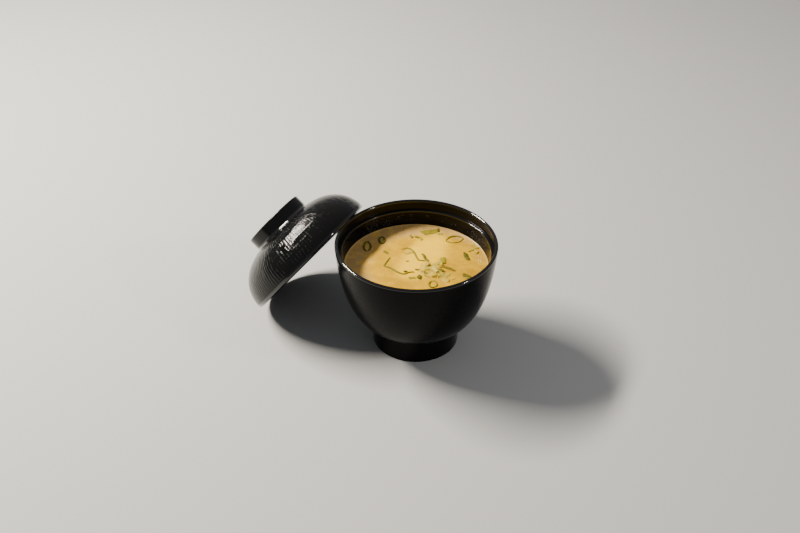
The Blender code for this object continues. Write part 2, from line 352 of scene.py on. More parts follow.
# %% The lid's outline
def dome(height, radius, rise):
    return radius * (1.0 - min(height / rise, 1.0)**LID_DOME_POWER)**(1.0 / LID_SIDE_POWER)


def dome_height(width, radius, rise):
    return rise * (1.0 - (width / radius)**LID_SIDE_POWER)**(1.0 / LID_DOME_POWER)


def lid_outline():
    floor_height = KNOB_HEIGHT - KNOB_HOLLOW
    inner = KNOB_RADIUS - KNOB_WALL
    top = KNOB_HEIGHT - EDGE_ROUND
    outer = 0.9 * MM                                # the knob's outer edge and the fillet at its base
    fillet = 1.5 * MM
    points = [Vector((0.0, floor_height)), Vector((inner / 2, floor_height))]
    points += arc((inner - EDGE_ROUND, floor_height + EDGE_ROUND), EDGE_ROUND, -90, 0, 4)
    points += arc((inner + EDGE_ROUND, top), EDGE_ROUND, 180, 90, 5)
    points += arc((KNOB_RADIUS - outer, KNOB_HEIGHT - outer), outer, 90, 0, 7)
    edge = LID_WALL / 2
    start = dome_height(KNOB_RADIUS, LID_RADIUS, LID_DOME)
    fall = start - dome_height(KNOB_RADIUS + fillet, LID_RADIUS, LID_DOME)
    slope = math.atan(fall / fillet)
    middle = Vector((KNOB_RADIUS + fillet, start - fall + fillet / math.cos(slope)))
    points += arc(middle, fillet, 180, 270 - math.degrees(slope), 7)
    steps = 34
    for step in range(1, steps):
        height = edge + (start - edge) * math.cos(math.pi / 2 * step / steps)
        width = dome(height, LID_RADIUS, LID_DOME)
        if width > points[-1].x + 0.3 * MM:
            points.append(Vector((width, height)))
    points += arc((LID_RADIUS - edge, edge), edge, 0, -180, 12)
    hollow_radius = LID_RADIUS - LID_WALL
    hollow_rise = LID_DOME - LID_CROWN
    steps = 30
    for step in range(1, steps):
        width = hollow_radius * math.cos(math.pi / 2 * step / steps)**0.7
        points.append(Vector((width, dome_height(width, hollow_radius, hollow_rise))))
    points.append(Vector((0.0, hollow_rise)))
    return points


# %% Spin the lid and lean it
def lid_matrix(outline):
    edge = LID_WALL / 2
    lean = math.asin((BOWL_HEIGHT + GAP) / (2 * (LID_RADIUS - edge)))
    up_the_lid = Vector((math.cos(lean), 0.0, math.sin(lean)))
    out_of_lid = Vector((-math.sin(lean), 0.0, math.cos(lean)))
    touch = AXIS + Vector((LIP_ROUND - BOWL_RADIUS, 0.0, BOWL_HEIGHT + GAP + edge))
    place = touch - (LID_RADIUS - edge) * up_the_lid - edge * out_of_lid
    place.z = max(p.x * math.sin(lean) - p.y * math.cos(lean) for p in outline)
    print("lid leans", round(math.degrees(lean), 2), "degrees")
    return Matrix.Translation(place) @ Matrix.Rotation(-lean, 4, "Y")


lid_points = lid_outline()
LID_FRAME = lid_matrix(lid_points)
lid = spin_outline("lacquer_lid", lid_points, WARE_STEPS)
lid.matrix_world = LID_FRAME
keep_place(lid)
smooth(lid)
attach(lid, "root")
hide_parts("lid")
print("lid spans", [round(v, 4) for v in lid.dimensions])

# %% [markdown]
# ## Lacquer with a cloth grain
#
# Cloth-grained ware carries the weave of the linen under its lacquer: fine lines round the piece
# and across it, a little over a millimetre apart, never quite straight or equally deep. The grain
# is a group of nodes, because bowl and lid share it. It gives a height for a Bump node, and only
# the outside of the body and the dome have it. Lip, ledge, foot and knob are polished smooth.

# %% Small helpers for shader nodes
def add_node(tree, kind, **settings):
    node = tree.nodes.new(kind)
    for key, value in settings.items():
        setattr(node, key, value)
    return node


def math_node(tree, operation, first, second=None):
    node = add_node(tree, "ShaderNodeMath", operation=operation)
    for socket, value in zip(node.inputs, (first, second)):
        if value is None:
            continue
        if isinstance(value, (int, float)):
            socket.default_value = value
        else:
            tree.links.new(value, socket)
    return node.outputs[0]


def range_node(tree, value, low, high, out_low=0.0, out_high=1.0):
    node = add_node(tree, "ShaderNodeMapRange", interpolation_type="SMOOTHSTEP")
    tree.links.new(value, node.inputs["Value"])
    node.inputs["From Min"].default_value = low
    node.inputs["From Max"].default_value = high
    node.inputs["To Min"].default_value = out_low
    node.inputs["To Max"].default_value = out_high
    return node.outputs["Result"]


def noise_node(tree, vector, scale, detail=2.0, roughness=0.5):
    node = add_node(tree, "ShaderNodeTexNoise")
    tree.links.new(vector, node.inputs["Vector"])
    node.inputs["Scale"].default_value = scale
    node.inputs["Detail"].default_value = detail
    node.inputs["Roughness"].default_value = roughness
    return node.outputs["Fac"]


def mix_colour(tree, share, first, second):
    node = add_node(tree, "ShaderNodeMix", data_type="RGBA")
    tree.links.new(share, node.inputs["Factor"])
    for socket, value in ((node.inputs["A"], first), (node.inputs["B"], second)):
        if isinstance(value, tuple):
            socket.default_value = (*value, 1.0)
        else:
            tree.links.new(value, socket)
    return node.outputs["Result"]


# %% The grain as a node group
def thread_grooves(tree, run, sway, wander, length, key):
    """Grooves between round threads: 0 along a thread's back, up to 1 in a groove."""
    swayed = math_node(tree, "ADD", run, math_node(tree, "MULTIPLY", sway, wander))
    line = math_node(tree, "ROUND", swayed)
    off_line = math_node(tree, "ABSOLUTE", math_node(tree, "SUBTRACT", swayed, line))
    groove = math_node(tree, "POWER", math_node(tree, "SUBTRACT", 1.0, math_node(tree, "MULTIPLY", off_line, 2.0)), 2.0)
    seed = add_node(tree, "ShaderNodeCombineXYZ")
    tree.links.new(math_node(tree, "MULTIPLY", line, 3.17), seed.inputs["X"])
    tree.links.new(length, seed.inputs["Y"])
    seed.inputs["Z"].default_value = key
    depth = noise_node(tree, seed.outputs[0], 1.0, 2.0)
    return math_node(tree, "MULTIPLY", groove, range_node(tree, depth, 0.32, 0.62, 0.12, 1.0))


def make_cloth_grain():
    tree = bpy.data.node_groups.new("cloth_grain", "ShaderNodeTree")
    tree.interface.new_socket("Turn", in_out="INPUT", socket_type="NodeSocketFloat")
    tree.interface.new_socket("Length", in_out="INPUT", socket_type="NodeSocketFloat")
    tree.interface.new_socket("Threads Round", in_out="INPUT", socket_type="NodeSocketFloat")
    tree.interface.new_socket("Pitch", in_out="INPUT", socket_type="NodeSocketFloat")
    tree.interface.new_socket("Place", in_out="INPUT", socket_type="NodeSocketVector")
    tree.interface.new_socket("Height", in_out="OUTPUT", socket_type="NodeSocketFloat")
    given = add_node(tree, "NodeGroupInput").outputs
    result = add_node(tree, "NodeGroupOutput")
    across = math_node(tree, "MULTIPLY", given["Turn"], given["Threads Round"])
    along = math_node(tree, "DIVIDE", given["Length"], given["Pitch"])
    sway = math_node(tree, "SUBTRACT", noise_node(tree, given["Place"], 60.0, 3.0), 0.5)
    warp = thread_grooves(tree, across, sway, 2.0, math_node(tree, "MULTIPLY", along, 0.35), 3.7)
    weft = thread_grooves(tree, along, sway, 0.7, math_node(tree, "MULTIPLY", across, 0.12), 9.1)
    both = math_node(tree, "ADD", math_node(tree, "MULTIPLY", warp, 0.55), math_node(tree, "MULTIPLY", weft, 0.45))
    slub = math_node(tree, "MULTIPLY", noise_node(tree, given["Place"], 900.0, 2.0), 0.05)
    tree.links.new(math_node(tree, "SUBTRACT", slub, both), result.inputs["Height"])
    return tree


cloth_grain = make_cloth_grain()
print("grain group has", len(cloth_grain.nodes), "nodes")


# %% Fine dust and handling marks, shared by the finishes
def make_handling():
    """Soft smudges, for roughness: 0 where polished, 1 where touched."""
    tree = bpy.data.node_groups.new("handling_marks", "ShaderNodeTree")
    tree.interface.new_socket("Place", in_out="INPUT", socket_type="NodeSocketVector")
    tree.interface.new_socket("Marks", in_out="OUTPUT", socket_type="NodeSocketFloat")
    given = add_node(tree, "NodeGroupInput").outputs
    result = add_node(tree, "NodeGroupOutput")
    smear = range_node(tree, noise_node(tree, given["Place"], 38.0, 4.0, 0.6), 0.42, 0.68)
    fine = range_node(tree, noise_node(tree, given["Place"], 420.0, 2.0), 0.45, 0.75)
    both = math_node(tree, "ADD", math_node(tree, "MULTIPLY", smear, 0.7), math_node(tree, "MULTIPLY", fine, 0.3))
    tree.links.new(both, result.inputs["Marks"])
    return tree


handling = make_handling()


# %% The lacquer itself
def make_lacquer(name, grain_from, grain_to, threads, pitch, polish, depth, mirror, edges):
    """Black lacquer: cloth grain between two lengths along the outline, a polished coat on the edges."""
    paint = bpy.data.materials.new(name)
    paint.use_nodes = True
    tree = paint.node_tree
    shader = tree.nodes["Principled BSDF"]
    shader.inputs["IOR"].default_value = 1.45
    shader.inputs["Specular IOR Level"].default_value = mirror

    wrap = add_node(tree, "ShaderNodeUVMap", uv_map="turned")
    parts = add_node(tree, "ShaderNodeSeparateXYZ")
    tree.links.new(wrap.outputs["UV"], parts.inputs[0])
    place = add_node(tree, "ShaderNodeTexCoord").outputs["Object"]

    grain = add_node(tree, "ShaderNodeGroup", node_tree=cloth_grain)
    tree.links.new(parts.outputs["X"], grain.inputs["Turn"])
    tree.links.new(parts.outputs["Y"], grain.inputs["Length"])
    tree.links.new(place, grain.inputs["Place"])
    grain.inputs["Threads Round"].default_value = threads
    grain.inputs["Pitch"].default_value = pitch

    fade = 0.8 * MM
    begins = range_node(tree, parts.outputs["Y"], grain_from, grain_from + fade)
    ends = range_node(tree, parts.outputs["Y"], grain_to, grain_to - fade)
    band = math_node(tree, "MULTIPLY", begins, ends)
    relief = math_node(tree, "MULTIPLY", grain.outputs["Height"], band)
    bump = add_node(tree, "ShaderNodeBump")
    bump.inputs["Strength"].default_value = 1.0
    bump.inputs["Distance"].default_value = depth
    tree.links.new(relief, bump.inputs["Height"])
    tree.links.new(bump.outputs["Normal"], shader.inputs["Normal"])

    marks = add_node(tree, "ShaderNodeGroup", node_tree=handling)
    tree.links.new(place, marks.inputs["Place"])
    polished = 0.0
    for begin, end in edges:
        near = range_node(tree, parts.outputs["Y"], begin - 0.4 * MM, begin)
        far = range_node(tree, parts.outputs["Y"], end + 0.4 * MM, end)
        polished = math_node(tree, "ADD", math_node(tree, "MULTIPLY", near, far), polished)
    tree.links.new(polished, shader.inputs["Coat Weight"])
    shader.inputs["Coat Roughness"].default_value = 0.06

    smudged = range_node(tree, marks.outputs["Marks"], 0.0, 1.0, polish, polish + 0.05)
    in_groove = range_node(tree, relief, -0.42, -0.75, 0.0, 0.45)
    tree.links.new(math_node(tree, "ADD", smudged, in_groove), shader.inputs["Roughness"])
    # Painted shade: the lacquer's colour is made darker down in the grooves of the weave.
    groove_shade = range_node(tree, relief, -0.8, 0.0)
    colour = mix_colour(tree, groove_shade, (0.0022, 0.0022, 0.0022), (0.0042, 0.0041, 0.0040))
    tree.links.new(colour, shader.inputs["Base Color"])
    return paint


def outline_length(outline, upto):
    return sum((b - a).length for a, b in zip(outline[:upto], outline[1:upto + 1]))


bowl_points = bowl_outline()
shelf_turn = min(range(len(bowl_points)), key=lambda i: abs(bowl_points[i].y - BOWL_HEIGHT + LEDGE_DEPTH + EDGE_ROUND)
                 + 0.1 * abs(bowl_points[i].x - BOWL_RADIUS + 2 * LIP_ROUND + SEAT_DRAFT))
lip_start = min(i for i, p in enumerate(bowl_points) if p.y > BOWL_HEIGHT - LIP_ROUND)
lip_end = next(i for i, p in enumerate(bowl_points) if p.x >= BOWL_RADIUS - 0.01 * MM)
body_end = min(range(lip_end, len(bowl_points)), key=lambda i: abs(bowl_points[i].x - FOOT_RADIUS) + abs(
    bowl_points[i].y - FOOT_HEIGHT))
bowl_lacquer = make_lacquer(
    "bowl_lacquer", outline_length(bowl_points, lip_end) + 2.5 * MM,
    outline_length(bowl_points, body_end) - 1.0 * MM, 220, 1.40 * MM, 0.14, 0.07 * MM, 0.07,
    ((outline_length(bowl_points, shelf_turn), outline_length(bowl_points, shelf_turn) + 0.8 * MM),
     (outline_length(bowl_points, lip_start), outline_length(bowl_points, lip_end))))
bowl.data.materials.append(bowl_lacquer)

knob_end = max(i for i, p in enumerate(lid_points) if abs(p.x - KNOB_RADIUS) < 0.01 * MM)
rim_start = max(range(len(lid_points)), key=lambda i: lid_points[i].x)
lid_lacquer = make_lacquer(
    "lid_lacquer", outline_length(lid_points, knob_end) + 2.2 * MM,
    outline_length(lid_points, rim_start) - 1.2 * MM, 128, 1.65 * MM, 0.07, 0.22 * MM, 0.32,
    ((outline_length(lid_points, knob_end), outline_length(lid_points, knob_end) + 1.8 * MM),
     (outline_length(lid_points, rim_start) - 0.8 * MM, outline_length(lid_points, rim_start) + 1.0 * MM)))
lid.data.materials.append(lid_lacquer)

# %% [markdown]
# ## The soup
#
# The broth is a closed body a hair wider than the hollow, so that no gap shows at the wall, and it
# climbs the wall a little in a wet edge. Miso is a cloud of fine paste in clear stock: pale
# yellow-beige, with tiny grains and a wet surface. The paler oval behind the middle is partly a
# denser cloud and partly a painted pool of light. The greyer, bluer edge, widest on the lid's side,
# is partly thinner stock and partly painted shade.

# %% Spin the soup
SOUP_EDGE = 1.4 * MM
SOUP_CLIMB = 0.55 * MM
INTO_WALL = 0.12 * MM


def soup_outline():
    below = inside_wall(BOWL_WALL - INTO_WALL, SOUP_LEVEL, 6, 16)
    wall = below[-1].x
    points = [Vector((0.0, SOUP_LEVEL))]
    points += [Vector((wall * step / 14 - SOUP_EDGE * step / 14, SOUP_LEVEL)) for step in range(1, 15)]
    for step in range(1, 7):
        t = step / 6
        points.append(Vector((wall - SOUP_EDGE * (1 - t), SOUP_LEVEL + SOUP_CLIMB * t * t)))
    below.reverse()
    return points + below


soup = spin_outline("miso_broth", soup_outline(), 160)
soup.location = AXIS
keep_place(soup)
smooth(soup, 60)
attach(soup, "root")
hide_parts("soup")


# %% Where things lie on the soup
def on_soup(x, y, rise=0.0):
    """A place given in millimetres from the bowl's axis and above the soup."""
    return AXIS + Vector((x * MM, y * MM, SOUP_LEVEL + rise * MM))


# %% Broth
def make_broth():
    broth = bpy.data.materials.new("broth")
    broth.use_nodes = True
    tree = broth.node_tree
    shader = tree.nodes["Principled BSDF"]
    shader.inputs["IOR"].default_value = 1.34
    shader.inputs["Subsurface Weight"].default_value = 0.35
    shader.inputs["Subsurface Radius"].default_value = (1.0, 0.7, 0.3)
    shader.inputs["Subsurface Scale"].default_value = 2.5 * MM
    shader.inputs["Specular IOR Level"].default_value = 0.3
    place = add_node(tree, "ShaderNodeTexCoord").outputs["Object"]
    from_middle = add_node(tree, "ShaderNodeVectorMath", operation="SUBTRACT")
    tree.links.new(place, from_middle.inputs[0])
    from_middle.inputs[1].default_value = on_soup(0.5, 11.0)
    squeezed = add_node(tree, "ShaderNodeVectorMath", operation="MULTIPLY")
    tree.links.new(from_middle.outputs[0], squeezed.inputs[0])
    squeezed.inputs[1].default_value = (1.0, 0.46, 0.0)
    away = add_node(tree, "ShaderNodeVectorMath", operation="LENGTH")
    tree.links.new(squeezed.outputs[0], away.inputs[0])
    billow = math_node(tree, "MULTIPLY", noise_node(tree, place, 55.0, 3.0, 0.5), 12.0 * MM)
    # Partly a denser cloud and partly a painted pool of light: the broth is made much paler in an oval just behind the
    # middle.
    dense_cloud_and_light_pool = range_node(tree, math_node(tree, "ADD", away.outputs["Value"], billow), 23.0 * MM, 13.0 * MM)
    drift = range_node(tree, noise_node(tree, place, 34.0, 3.0, 0.55), 0.35, 0.68)
    cloud = math_node(tree, "ADD", math_node(tree, "MULTIPLY", dense_cloud_and_light_pool, 0.75), math_node(tree, "MULTIPLY", drift, 0.25))
    wisps = range_node(tree, noise_node(tree, place, 120.0, 4.0, 0.6), 0.4, 0.7)
    grains = range_node(tree, noise_node(tree, place, 1700.0, 1.0), 0.58, 0.74)
    deep = mix_colour(tree, cloud, (0.41, 0.219, 0.006), (0.97, 0.580, 0.005))
    # Partly thinner stock and partly painted shade: towards the wall, and most on the lid's side where its shadow
    # falls, the broth turns a greyer, bluer colour.
    from_axis = add_node(tree, "ShaderNodeVectorMath", operation="DISTANCE")
    tree.links.new(place, from_axis.inputs[0])
    from_axis.inputs[1].default_value = on_soup(9.0, 1.0)
    clear = range_node(tree, math_node(tree, "SUBTRACT", from_axis.outputs["Value"], billow), 27.0 * MM, 41.0 * MM)
    thin_stock_and_shade_colour = mix_colour(tree, math_node(tree, "MULTIPLY", clear, 0.9), deep, (0.45, 0.292, 0.125))
    wispy = mix_colour(tree, math_node(tree, "MULTIPLY", wisps, 0.3), thin_stock_and_shade_colour, (0.84, 0.49, 0.015))
    colour = mix_colour(tree, math_node(tree, "MULTIPLY", grains, 0.2), wispy, (0.48, 0.25, 0.010))
    tree.links.new(colour, shader.inputs["Base Color"])
    wet = range_node(tree, wisps, 0.0, 1.0, 0.24, 0.34)
    tree.links.new(wet, shader.inputs["Roughness"])
    ripple = math_node(tree, "ADD", noise_node(tree, place, 90.0, 2.0), math_node(tree, "MULTIPLY", grains, 0.02))
    bump = add_node(tree, "ShaderNodeBump")
    bump.inputs["Strength"].default_value = 0.4
    bump.inputs["Distance"].default_value = 0.12 * MM
    tree.links.new(ripple, bump.inputs["Height"])
    tree.links.new(bump.outputs["Normal"], shader.inputs["Normal"])
    return broth


soup.data.materials.append(make_broth())

# %% [markdown]
# ## Green onion rings
#
# A slice across a hollow onion leaf is a short tube with a wall under a millimetre thick. Heat
# and the knife pinch it into a pointed oval. Each ring starts as a bare circle, is extruded up a
# little, squeezed at the ends, and only then gets a wall, so that the wall stays even all round.

# %% Lay a piece down
def set_down(piece, x, y, turn, rise=0.0, tilt=(0.0, 0.0)):
    """Turns a piece that was made at the origin and lays it on the soup."""
    piece.location = on_soup(x, y, rise)
    piece.rotation_euler = (math.radians(tilt[0]), math.radians(tilt[1]), math.radians(turn))
    keep_place(piece)


# %% Hand-cut unevenness and a tone for each piece
def make_uneven(piece, amount, size, seed):
    """Moves the points a little by a smooth noise, so that no two slices are alike."""
    shift = Vector((seed * 7.3, seed * 3.1, seed * 5.7))
    for vert in piece.data.vertices:
        vert.co += noise.noise_vector(vert.co / size + shift) * amount


def give_tone(piece, tone, inner_change=0.0, seed=0):
    """Stores how dark a green each point is: 0 the pale shank, 1 the dark leaf."""
    mesh = piece.data
    layer = mesh.attributes.new("tone", "FLOAT", "POINT")
    middle = sum((v.co for v in mesh.vertices), Vector()) / len(mesh.vertices)
    shift = Vector((seed * 2.9, 0.0, seed))
    for vert in mesh.vertices:
        away = vert.co - middle
        away.z = 0.0
        inner = vert.normal.dot(away) < 0.0
        drift = noise.noise(vert.co / (2.4 * MM) + shift)
        layer.data[vert.index].value = tone + 0.12 * drift + (inner_change if inner else 0.0)


def thicken(piece, thick, bevel, offset=-1.0):
    wall = piece.modifiers.new("wall", "SOLIDIFY")
    wall.thickness = thick
    wall.offset = offset
    wall.use_even_offset = True
    edge = piece.modifiers.new("soft edge", "BEVEL")
    edge.width = bevel
    edge.segments = 2
    edge.limit_method = "ANGLE"
    edge.angle_limit = math.radians(50)
    apply_all(piece)


# %% A ring
RING_POINTS = 72


def onion_ring(name, x, y, length, width, turn, wall, pinch, tone, seed, tilt=(0.0, 0.0)):
    start_clean()
    bpy.ops.mesh.primitive_circle_add(vertices=RING_POINTS, radius=0.5 * MM, fill_type="NOTHING")
    ring = bpy.context.object
    ring.name = name
    bpy.ops.object.mode_set(mode="EDIT")
    bpy.ops.mesh.select_all(action="SELECT")
    bpy.ops.transform.resize(value=(length, width, 1.0), center_override=(0, 0, 0))
    for lift, spread in ((0.45, 1.02), (0.45, 0.99), (0.45, 0.97)):
        bpy.ops.mesh.extrude_region_move(TRANSFORM_OT_translate={"value": (0, 0, lift * MM)})
        bpy.ops.transform.resize(value=(spread, spread, 1.0), center_override=(0, 0, 0))
    bpy.ops.mesh.select_all(action="SELECT")
    bpy.ops.mesh.normals_make_consistent(inside=False)
    bpy.ops.object.mode_set(mode="OBJECT")
    half = length * MM / 2
    for vert in ring.data.vertices:
        vert.co.y *= 1.0 - pinch * (vert.co.x / half)**2
    make_uneven(ring, 0.35 * MM, 3.5 * MM, seed)
    thicken(ring, wall * MM, 0.14 * MM)
    give_tone(ring, tone, -0.18, seed)
    set_down(ring, x, y, turn, -0.9, tilt)
    smooth(ring, 50)
    return ring


rings = [
    onion_ring("onion_ring_right", 10.0, 37.6, 12.4, 8.6, 43, 1.15, 0.30, 0.82, 1, (2, 0)),
    onion_ring("onion_ring_left", -38.0, 3.2, 12.0, 5.8, 116, 1.25, 0.30, 0.95, 2, (0, -2)),
    onion_ring("onion_ring_back", -33.0, 14.4, 9.0, 5.0, 118, 1.25, 0.25, 0.95, 3, (0, 3)),
    onion_ring("onion_ring_front", 19.2, -14.6, 7.8, 6.0, 110, 1.05, 0.10, 0.62, 4, (3, 2)),
]
for ring, node in zip(rings, ("ring_right", "ring_left", "ring_back", "ring_front")):
    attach(ring, "root")
    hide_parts(node)
print("rings", [round(r.dimensions.x / MM, 1) for r in rings])

# %% [markdown]
# ## Pieces of leaf
#
# Flat pieces of leaf are cut out of a fine grid with straight knife strokes, as on a board, then
# cupped a little, given their thickness and laid down. A stroke is a bisect that throws away what
# lies outside it.

# %% A piece cut with a knife
def cut_piece(name, x, y, length, width, turn, strokes, thick, cup, tone, rise, seed, tilt=(0.0, 0.0)):
    """Strokes are pairs: the direction a stroke faces, in degrees, and its reach in millimetres."""
    start_clean()
    bpy.ops.mesh.primitive_grid_add(x_subdivisions=16, y_subdivisions=10, size=MM)
    bit = bpy.context.object
    bit.name = name
    bpy.ops.object.mode_set(mode="EDIT")
    bpy.ops.mesh.select_all(action="SELECT")
    bpy.ops.transform.resize(value=(length, width, 1.0), center_override=(0, 0, 0))
    for facing, reach in strokes:
        out = Vector((math.cos(math.radians(facing)), math.sin(math.radians(facing)), 0.0))
        bpy.ops.mesh.select_all(action="SELECT")
        bpy.ops.mesh.bisect(plane_co=out * reach * MM, plane_no=out, clear_outer=True)
    bpy.ops.object.mode_set(mode="OBJECT")
    for vert in bit.data.vertices:
        side = vert.co.y / (width * MM / 2)
        vert.co.z += cup * MM * (1.0 - side * side)
    make_uneven(bit, 0.18 * MM, 2.2 * MM, seed)
    thicken(bit, thick * MM, 0.1 * MM)
    give_tone(bit, tone, 0.0, seed)
    set_down(bit, x, y, turn, rise, tilt)
    smooth(bit, 50)
    return bit


leaf_right = cut_piece("onion_leaf_right", 25.3, 22.9, 10.6, 4.2, -44,
                       ((127, 3.2), (85, 1.65), (-24, 4.1), (-78, 1.9), (251, 1.75)), 0.6, 0.5, 0.95, -0.05, 5, (3, 2))
leaf_back = cut_piece("onion_leaf_back", -8.8, 38.4, 13.0, 6.4, 45, ((205, 5.2), (60, 4.9), (-50, 4.8)),
                      0.5, 0.4, 0.52, -0.10, 6, (-2, 2))
for leaf, node in ((leaf_right, "leaf_right"), (leaf_back, "leaf_back")):
    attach(leaf, "root")
    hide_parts(node)

# %% [markdown]
# ## Small cut bits
#
# The rest of the green is crumbs of the same leaf, from one to six millimetres long. They are the
# same cut pieces in smaller sizes, each with its own strokes and tone, joined into one mesh.

# %% Join pieces into one
def join(name, pieces):
    start_clean()
    for piece in pieces:
        piece.select_set(True)
    bpy.context.view_layer.objects.active = pieces[0]
    bpy.ops.object.join()
    pieces[0].name = name
    pieces[0].data.name = name
    return pieces[0]


# %% Bits of green
SQUARE = ((20, 0.9), (200, 0.9))
BITS = (
    # x, y, length, width, turn, thick, cup, tone, rise
    (34.6, 3.2, 6.4, 3.6, -6, 0.5, 0.4, 0.84, 0.10),
    (36.6, 1.6, 3.4, 2.2, 30, 0.4, 0.3, 0.50, 0.05),
    (-23.8, 3.1, 4.6, 2.4, -18, 0.4, 0.2, 0.72, 0.02),
    (-6.6, 0.6, 2.2, 1.6, 50, 0.4, 0.1, 0.60, 0.05),
    (-17.4, 27.4, 4.0, 2.2, -35, 0.4, 0.3, 0.62, 0.05),
    (-13.6, 28.4, 3.2, 2.0, 10, 0.4, 0.3, 0.86, 0.15),
    (-10.2, 27.8, 3.8, 2.0, -30, 0.3, 0.2, 0.38, 0.02),
    (-4.6, 42.4, 4.0, 2.0, -60, 0.5, 0.2, 0.92, 0.25),
    (-1.6, 39.0, 4.0, 2.4, 20, 0.3, 0.3, 0.36, 0.04),
    (18.4, 0.1, 3.4, 2.3, 30, 0.5, 0.3, 1.00, 0.8),
    (3.4, -5.2, 2.9, 1.6, 28, 0.4, 0.2, 0.78, 0.4),
    (4.6, -14.6, 4.8, 2.6, 34, 0.4, 0.2, 0.50, 0.05),
    (9.0, -6.2, 4.2, 1.5, -8, 0.4, 0.2, 0.60, 0.7),
    (25.0, 30.4, 4.0, 2.2, 70, 0.4, 0.3, 0.42, 0.06),
    (27.4, 35.2, 4.8, 2.2, 60, 0.4, 0.3, 0.34, 0.06),
    (30.0, 30.2, 3.0, 1.9, 95, 0.4, 0.3, 0.50, 0.06),
    (23.6, 36.6, 2.6, 1.8, 20, 0.3, 0.2, 0.36, 0.04),
    (8.3, 1.1, 3.8, 1.7, 80, 0.5, 0.3, 0.86, 1.1),
    (-2.5, -10.4, 2.4, 1.9, 55, 0.5, 0.3, 0.92, 0.25),
)
bits = [
    cut_piece("bit", x, y, length, width, turn, ((18, 0.43 * length), (205, 0.42 * length)),
              thick, cup, tone, rise, 20 + index)
    for index, (x, y, length, width, turn, thick, cup, tone, rise) in enumerate(BITS)
]
bits.append(cut_piece("bit", 13.6, 11.7, 6.6, 4.4, 112, ((30, 2.9), (160, 3.1), (-80, 2.0)), 0.5, 0.5, 0.42, 0.25, 60))
bits.append(cut_piece("bit", 8.3, -11.6, 4.8, 3.4, 100, ((-30, 1.8), (150, 1.8), (60, 2.0)), 0.8, 0.3, 0.98, 0.2, 61))
green_bits = join("onion_bits", bits)
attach(green_bits, "root")
print("bits", len(bits), "with", len(green_bits.data.polygons), "faces")

# %% [markdown]
# ## Strands
#
# Where the knife slipped, a ring opened into a long thin strand. A strand is modelled straight and
# tapered, then laid along a drawn path with a Curve modifier, which bends it without stretching.

# %% A strand along a path
def strand(name, path_points, width, tall, tone, seed):
    start_clean()
    bpy.ops.curve.primitive_bezier_curve_add(location=(0, 0, 0))
    path = bpy.context.object
    path.data.dimensions = "3D"
    path.data.twist_mode = "Z_UP"
    line = path.data.splines[0]
    line.bezier_points.add(len(path_points) - 2)
    for knot, (x, y, rise) in zip(line.bezier_points, path_points):
        knot.co = on_soup(x, y, rise)
        knot.handle_left_type = knot.handle_right_type = "AUTO"
    bpy.context.view_layer.update()
    length = line.calc_length()

    start_clean()
    bpy.ops.mesh.primitive_circle_add(vertices=10, radius=0.5 * MM, fill_type="NGON", rotation=(0, math.pi / 2, 0))
    strip = bpy.context.object
    strip.name = name
    keep_place(strip)
    bpy.ops.object.mode_set(mode="EDIT")
    bpy.ops.mesh.select_all(action="SELECT")
    steps = max(10, round(length / (0.55 * MM)))
    girth = [0.35 + 0.65 * math.sin(math.pi * min(1, max(0, 0.06 + 0.88 * i / steps)))**0.5 for i in range(steps + 1)]
    bpy.ops.transform.resize(value=(1.0, width * girth[0], tall * girth[0]), center_override=(0, 0, 0))
    for i in range(1, steps + 1):
        bpy.ops.mesh.extrude_region_move(TRANSFORM_OT_translate={"value": (length / steps, 0, 0)})
        grow = girth[i] / girth[i - 1]
        bpy.ops.transform.resize(value=(1.0, grow, grow), center_override=(i * length / steps, 0, 0))
    bpy.ops.mesh.select_all(action="SELECT")
    bpy.ops.mesh.normals_make_consistent(inside=False)
    bpy.ops.object.mode_set(mode="OBJECT")
    bend = strip.modifiers.new("along the path", "CURVE")
    bend.object = path
    bend.deform_axis = "POS_X"
    apply_all(strip)
    start_clean()
    path.select_set(True)
    bpy.ops.object.delete()
    make_uneven(strip, 0.12 * MM, 1.6 * MM, seed)
    give_tone(strip, tone, 0.0, seed)
    smooth(strip, 60)
    return strip


strands = [
    strand("strand", ((-18.6, -1.1, 0.0), (-18.2, -6.5, 0.0), (-17.7, -11.2, 0.05)), 1.4, 0.7, 0.74, 1),
    strand("strand", ((-17.7, -11.4, 0.1), (-14.7, -11.3, 0.15), (-9.0, -12.7, 0.1), (-4.8, -13.6, 0.1),
                      (-2.0, -13.2, 0.1), (0.4, -9.8, 0.15), (2.7, -8.4, 0.2)), 1.5, 0.7, 0.72, 2),
    strand("strand", ((-16.0, 11.0, 0.05), (-13.7, 13.6, 0.1), (-10.6, 13.5, 0.1), (-7.3, 11.3, 0.1),
                      (-4.3, 8.3, 0.05), (-0.6, 4.9, 0.05)), 1.6, 0.6, 0.55, 3),
    strand("strand", ((-1.9, 12.2, 0.2), (0.1, 11.1, 0.2), (2.8, 8.1, 0.25), (5.7, 6.8, 0.3)), 1.9, 0.9, 0.88, 4),
    strand("strand", ((-1.1, 4.7, 0.1), (1.8, 5.6, 0.1), (5.3, 6.6, 0.3)), 1.3, 0.6, 0.66, 5),
    strand("strand", ((16.8, 5.6, 0.6), (21.5, 5.5, 0.4), (25.3, 4.9, 0.3)), 1.9, 0.8, 0.70, 6),
]
onion_strands = join("onion_strands", strands)
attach(onion_strands, "root")
print("strands have", len(onion_strands.data.polygons), "faces")

# %% [markdown]
# ## The heap of pale slices
#
# The white of the onion is cut in thin half rings that go translucent in hot soup. They lie in a
# loose heap just right of the middle, over a small mound of more slices that the broth hides.
# Each is an upright strip swept part of the way round, then leaned over.

